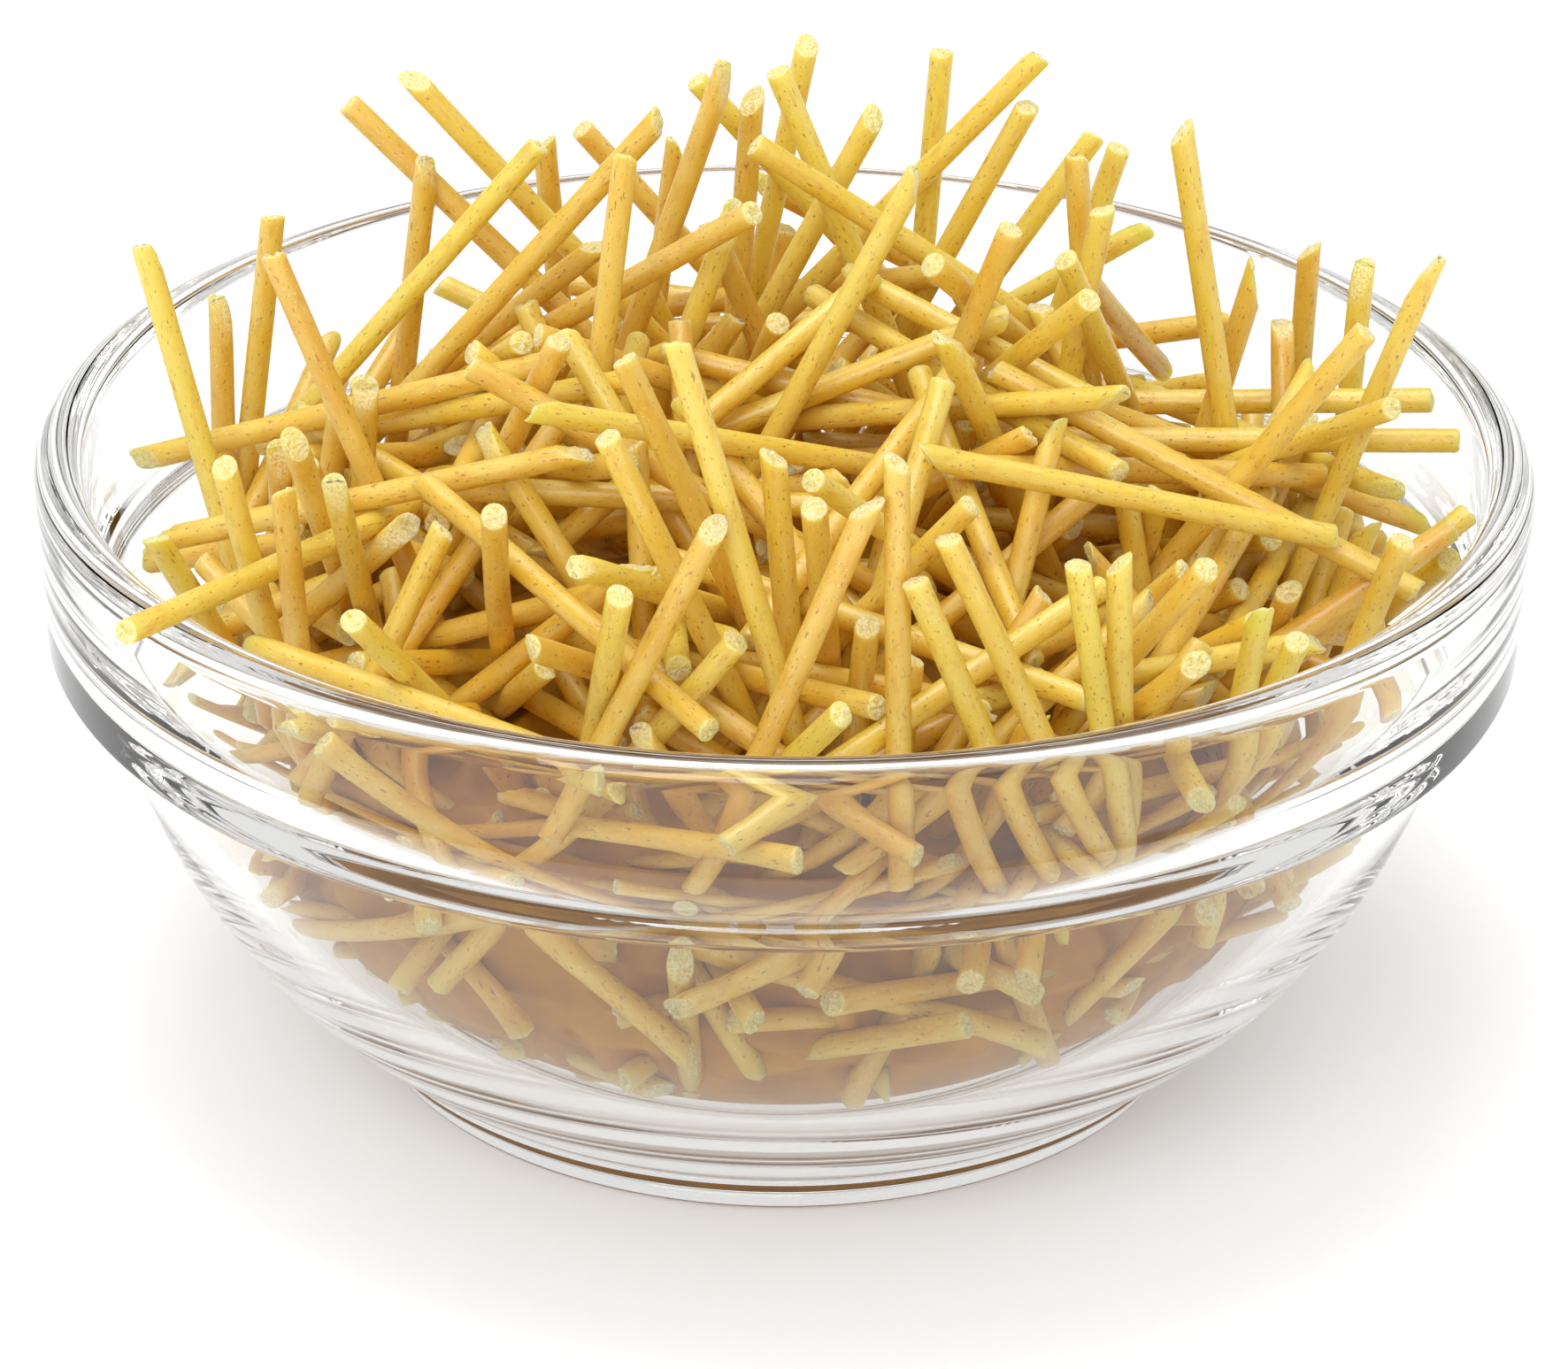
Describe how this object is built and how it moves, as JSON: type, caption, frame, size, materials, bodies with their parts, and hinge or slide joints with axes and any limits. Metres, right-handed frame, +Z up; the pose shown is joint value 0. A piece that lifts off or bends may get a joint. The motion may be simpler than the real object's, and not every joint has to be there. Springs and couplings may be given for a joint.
{
  "type": "glass bowl of broken dry spaghetti",
  "caption": "Small clear glass stacking bowl with a straight collar and stepped foot, heaped with short broken lengths of dry spaghetti standing and lying at all angles.",
  "frame": {"origin": "middle of the foot's underside, where the bowl stands", "axes": "+Z up along the bowl's axis; -Y towards the front that the heap is usually seen from; +X to the right of that view"},
  "size_m": [0.12, 0.12, 0.0784],
  "materials": {
    "clear_glass": "polished clear soda-lime glass",
    "dry_pasta": "matte, slightly translucent dry durum wheat pasta"
  },
  "bodies": {
    "root": {"bowl": "clear_glass", "spaghetti": "dry_pasta"}
  },
  "joints": []
}
